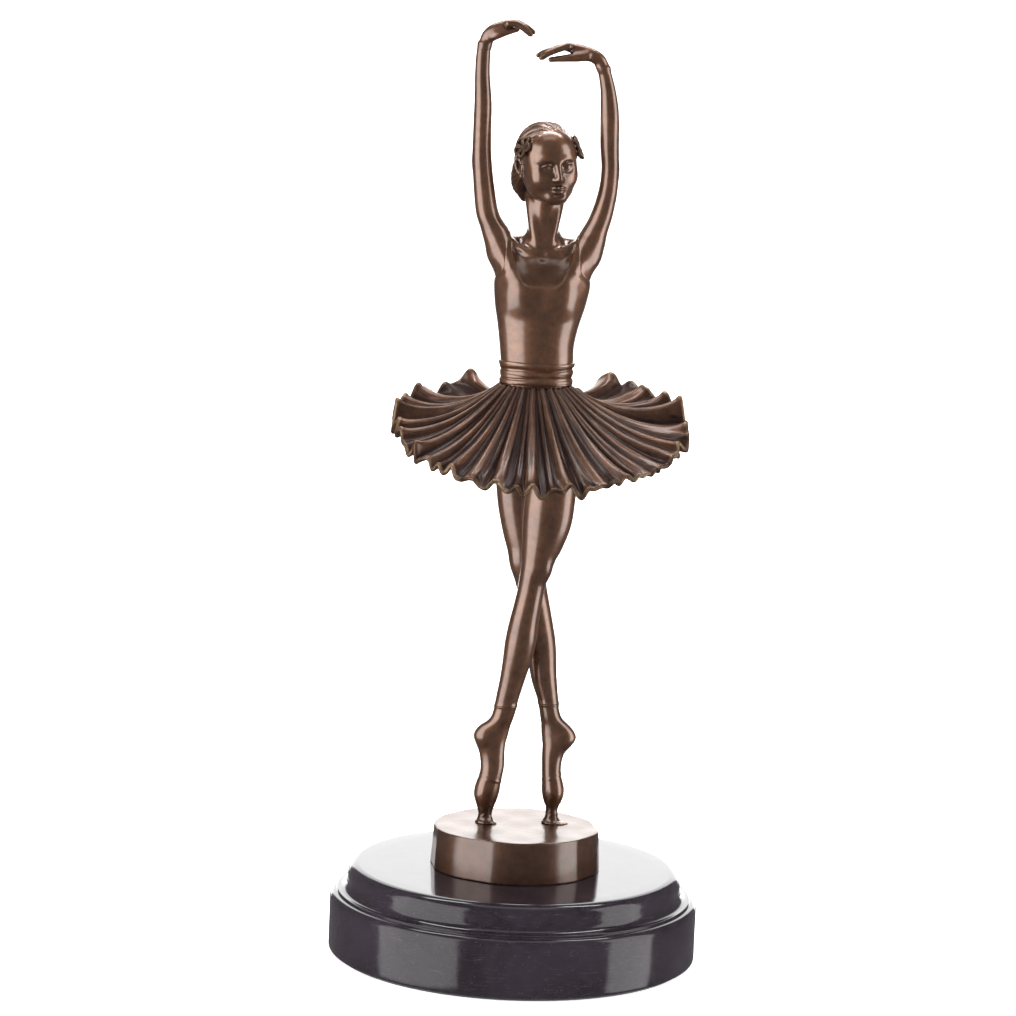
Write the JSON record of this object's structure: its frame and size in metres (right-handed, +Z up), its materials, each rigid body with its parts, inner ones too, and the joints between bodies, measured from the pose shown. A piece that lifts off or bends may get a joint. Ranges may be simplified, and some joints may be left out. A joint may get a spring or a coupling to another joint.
{
  "type": "bronze ballet dancer statuette",
  "caption": "Cast bronze ballet dancer on pointe with arms raised overhead and a pleated tutu, on a round bronze plinth and a stepped round marble base.",
  "frame": {"origin": "centre of the underside, on the surface that the statuette stands on", "axes": "+Z up, -Y towards the front that the dancer faces, +X to the viewer's right and the dancer's left"},
  "size_m": [0.1336, 0.1336, 0.3396],
  "materials": {
    "cast_bronze": "satin brown patina",
    "dark_bronze": "dark patina with worn edges",
    "dark_marble": "polished",
    "zinc_steel": "zinc plated",
    "base_felt": "matte felt"
  },
  "bodies": {
    "root": {"felt_pad": "base_felt", "marble_base": "dark_marble", "fixing_stud": "zinc_steel", "fixing_washer": "zinc_steel", "fixing_nut": "zinc_steel", "plinth": "cast_bronze", "left_foot": "cast_bronze", "right_foot": "cast_bronze", "ankle_pins": "zinc_steel", "left_leg": "cast_bronze", "right_leg": "cast_bronze", "hip_pins": "zinc_steel", "hips": "cast_bronze", "tutu": "dark_bronze", "waist_stud": "zinc_steel", "torso": "cast_bronze", "sash": "cast_bronze", "shoulder_pins": "zinc_steel", "left_arm": "cast_bronze", "right_arm": "cast_bronze", "wrist_pins": "zinc_steel", "left_hand": "cast_bronze", "right_hand": "cast_bronze", "neck_pin": "zinc_steel", "head": "cast_bronze", "left_hair_ornament": "dark_bronze", "right_hair_ornament": "dark_bronze"}
  },
  "joints": []
}
